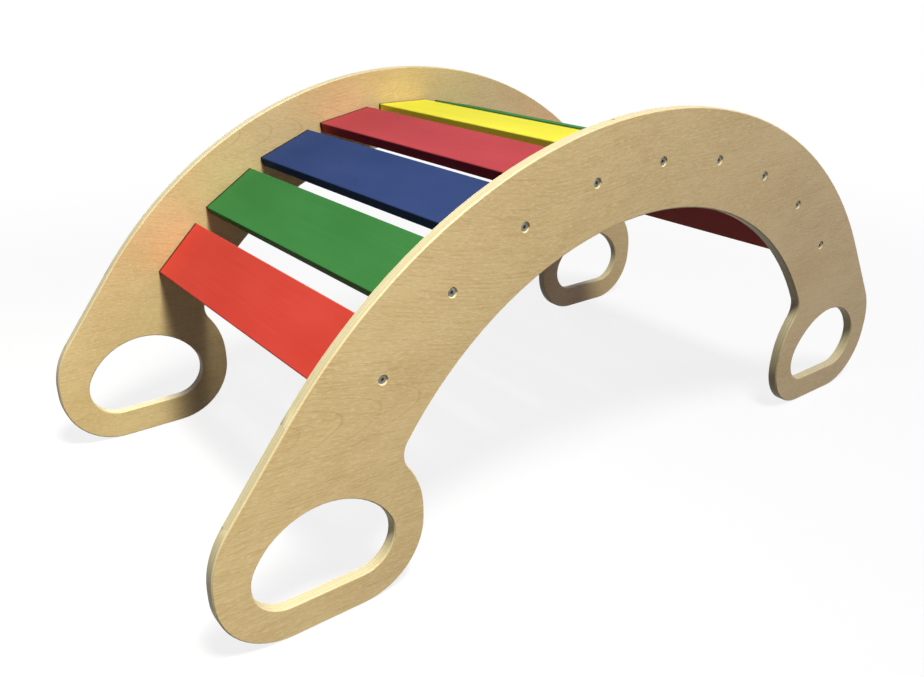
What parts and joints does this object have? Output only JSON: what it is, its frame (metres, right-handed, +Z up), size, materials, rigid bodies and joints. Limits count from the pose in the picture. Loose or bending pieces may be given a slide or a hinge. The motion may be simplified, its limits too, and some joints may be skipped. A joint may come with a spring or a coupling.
{
  "type": "wooden rocker arch",
  "caption": "Plywood climbing arch with coloured cross slats between two curved side panels with looped feet; turned over, it rocks on its rounded edges.",
  "frame": {"origin": "on the floor, under the middle of the arch: the centre of the bottom of its box", "axes": "+X along the arch from one foot to the other, towards slat 9; +Y from the front panel to the back panel, along the slats; +Z up"},
  "size_m": [1.24, 0.572, 0.518],
  "materials": {
    "plywood": "clear satin varnish on birch plywood",
    "paint_red": "satin paint",
    "paint_green": "satin paint",
    "paint_blue": "satin paint",
    "paint_crimson": "satin paint",
    "paint_yellow": "satin paint",
    "zinc": "zinc plated",
    "beech": "raw"
  },
  "bodies": {
    "root": {"side_front": "plywood", "side_back": "plywood", "slat_1": "paint_red", "slat_2": "paint_green", "slat_3": "paint_blue", "slat_4": "paint_crimson", "slat_5": "paint_yellow", "slat_6": "paint_green", "slat_7": "paint_blue", "slat_8": "paint_crimson", "slat_9": "paint_red", "screws_front": "zinc", "screws_back": "zinc", "dowels_front": "beech", "dowels_back": "beech"}
  },
  "joints": []
}
